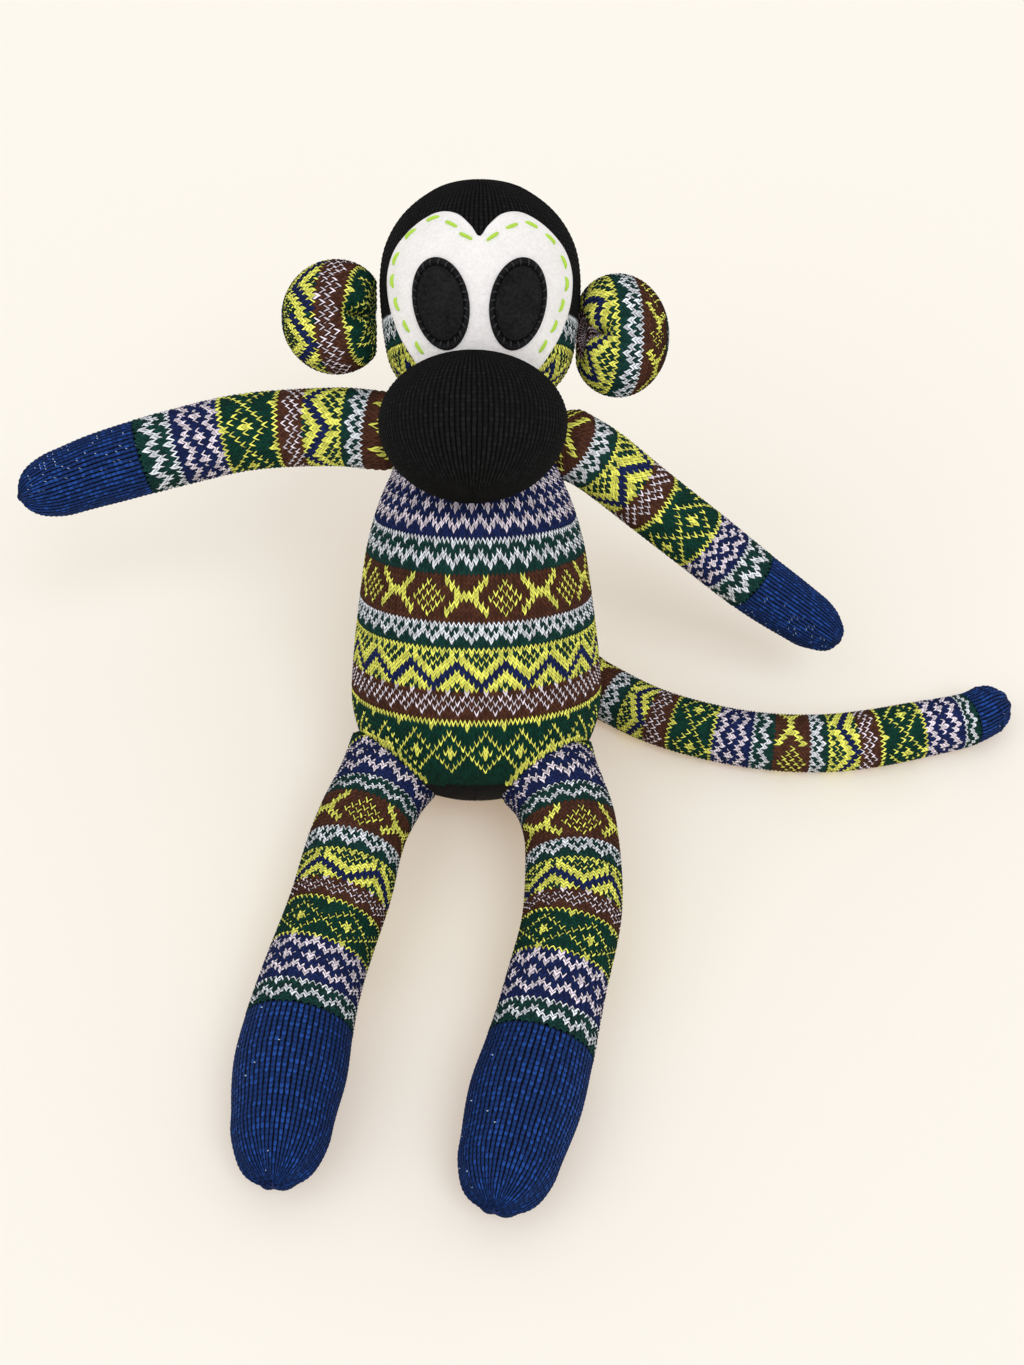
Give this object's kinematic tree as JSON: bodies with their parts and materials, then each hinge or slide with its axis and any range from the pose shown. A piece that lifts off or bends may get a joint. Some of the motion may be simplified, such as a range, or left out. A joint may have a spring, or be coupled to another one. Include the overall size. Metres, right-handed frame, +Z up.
{
  "type": "sock monkey doll",
  "caption": "Seated stuffed monkey doll sewn from knitted socks, with round ears, long limbs and tail, and a felt face; a soft toy to pose and hold",
  "frame": {"origin": "the middle of the small flat that the seat rests on, on the floor", "axes": "X to the doll's own left, Y to its back, Z up"},
  "size_m": [0.3339, 0.2944, 0.1724],
  "materials": {
    "pattern_knit": "stranded multicolour sock knit, matte",
    "black_knit": "plain stocking stitch, matte black",
    "blue_rib": "one by one rib knit, matte royal blue",
    "white_felt": "wool felt, matte white",
    "black_felt": "wool felt, matte black",
    "lime_thread": "stranded embroidery thread, lime",
    "black_thread": "sewing thread, matte black",
    "blue_thread": "sewing thread, matte dark blue",
    "stuffing": "loose white fibre filling"
  },
  "bodies": {
    "torso": {"torso_sock": "pattern_knit", "seat_heel": "black_knit", "torso_stuffing": "stuffing"},
    "neck": {"neck_sock": "pattern_knit", "neck_stuffing": "stuffing"},
    "head": {"head_sock": "pattern_knit", "crown": "black_knit", "head_stuffing": "stuffing", "muzzle": "black_knit", "muzzle_stuffing": "stuffing", "face_patch": "white_felt", "face_stitching": "lime_thread", "left_eye": "black_felt", "right_eye": "black_felt", "left_eye_thread": "black_thread", "right_eye_thread": "black_thread"},
    "left_ear": {"left_ear": "pattern_knit", "left_ear_stuffing": "stuffing"},
    "right_ear": {"right_ear": "pattern_knit", "right_ear_stuffing": "stuffing"},
    "left_shoulder": {"left_shoulder_wad": "stuffing"},
    "left_arm": {"left_arm": "pattern_knit", "left_hand": "blue_rib", "left_arm_stuffing": "stuffing", "left_hand_gather_thread": "blue_thread"},
    "right_shoulder": {"right_shoulder_wad": "stuffing"},
    "right_arm": {"right_arm": "pattern_knit", "right_hand": "blue_rib", "right_arm_stuffing": "stuffing", "right_hand_gather_thread": "blue_thread"},
    "left_hip": {"left_hip_wad": "stuffing"},
    "left_leg": {"left_leg": "pattern_knit", "left_foot": "blue_rib", "left_leg_stuffing": "stuffing", "left_foot_gather_thread": "blue_thread"},
    "right_hip": {"right_hip_wad": "stuffing"},
    "right_leg": {"right_leg": "pattern_knit", "right_foot": "blue_rib", "right_leg_stuffing": "stuffing", "right_foot_gather_thread": "blue_thread"},
    "tail_root": {"tail_root_wad": "stuffing"},
    "tail": {"tail": "pattern_knit", "tail_tip": "blue_rib", "tail_stuffing": "stuffing", "tail_gather_thread": "blue_thread"}
  },
  "joints": [
    {"name": "head_turn", "type": "hinge", "parent": "torso", "child": "neck", "pos_m": [0, 0.04374, 0.10818], "axis": [0, 0.5299, 0.848], "range_deg": [-25, 15]},
    {"name": "head_nod", "type": "hinge", "parent": "neck", "child": "head", "pos_m": [0, 0.04374, 0.10818], "axis": [1, 0, 0], "range_deg": [-5, 8]},
    {"name": "left_ear_flop", "type": "hinge", "parent": "head", "child": "left_ear", "pos_m": [0.0315, 0.07016, 0.12958], "axis": [0, -0.7771, -0.6293], "range_deg": [-20, 20]},
    {"name": "right_ear_flop", "type": "hinge", "parent": "head", "child": "right_ear", "pos_m": [-0.0315, 0.07482, 0.13335], "axis": [0, 0.7771, 0.6293], "range_deg": [-20, 20]},
    {"name": "left_arm_swing", "type": "hinge", "parent": "torso", "child": "left_shoulder", "pos_m": [0.03167, 0.05081, 0.10009], "axis": [0, -0.5299, -0.848], "range_deg": [-30, 30]},
    {"name": "left_arm_lift", "type": "hinge", "parent": "left_shoulder", "child": "left_arm", "pos_m": [0.03167, 0.05081, 0.10009], "axis": [0, -0.848, 0.5299], "range_deg": [-8, 36]},
    {"name": "right_arm_swing", "type": "hinge", "parent": "torso", "child": "right_shoulder", "pos_m": [-0.03126, 0.05321, 0.10417], "axis": [0, 0.5299, 0.848], "range_deg": [-30, 30]},
    {"name": "right_arm_lift", "type": "hinge", "parent": "right_shoulder", "child": "right_arm", "pos_m": [-0.03126, 0.05321, 0.10417], "axis": [0, 0.848, -0.5299], "range_deg": [-45, 8]},
    {"name": "left_leg_splay", "type": "hinge", "parent": "torso", "child": "left_hip", "pos_m": [0.0282, -0.04448, 0.02821], "axis": [0, 0, 1], "range_deg": [-6, 30]},
    {"name": "left_leg_lift", "type": "hinge", "parent": "left_hip", "child": "left_leg", "pos_m": [0.0282, -0.04448, 0.02821], "axis": [-1, 0, 0], "range_deg": [-50, 30]},
    {"name": "right_leg_splay", "type": "hinge", "parent": "torso", "child": "right_hip", "pos_m": [-0.03293, -0.0404, 0.02566], "axis": [0, 0, -1], "range_deg": [-6, 30]},
    {"name": "right_leg_lift", "type": "hinge", "parent": "right_hip", "child": "right_leg", "pos_m": [-0.03293, -0.0404, 0.02566], "axis": [-1, 0, 0], "range_deg": [-50, 30]},
    {"name": "tail_swing", "type": "hinge", "parent": "torso", "child": "tail_root", "pos_m": [0.00297, 0.03953, 0.00969], "axis": [0, 0, 1], "range_deg": [0, 90]},
    {"name": "tail_lift", "type": "hinge", "parent": "tail_root", "child": "tail", "pos_m": [0.00297, 0.03953, 0.00969], "axis": [0, -0.9613, 0.2756], "range_deg": [-20, 14]}
  ]
}
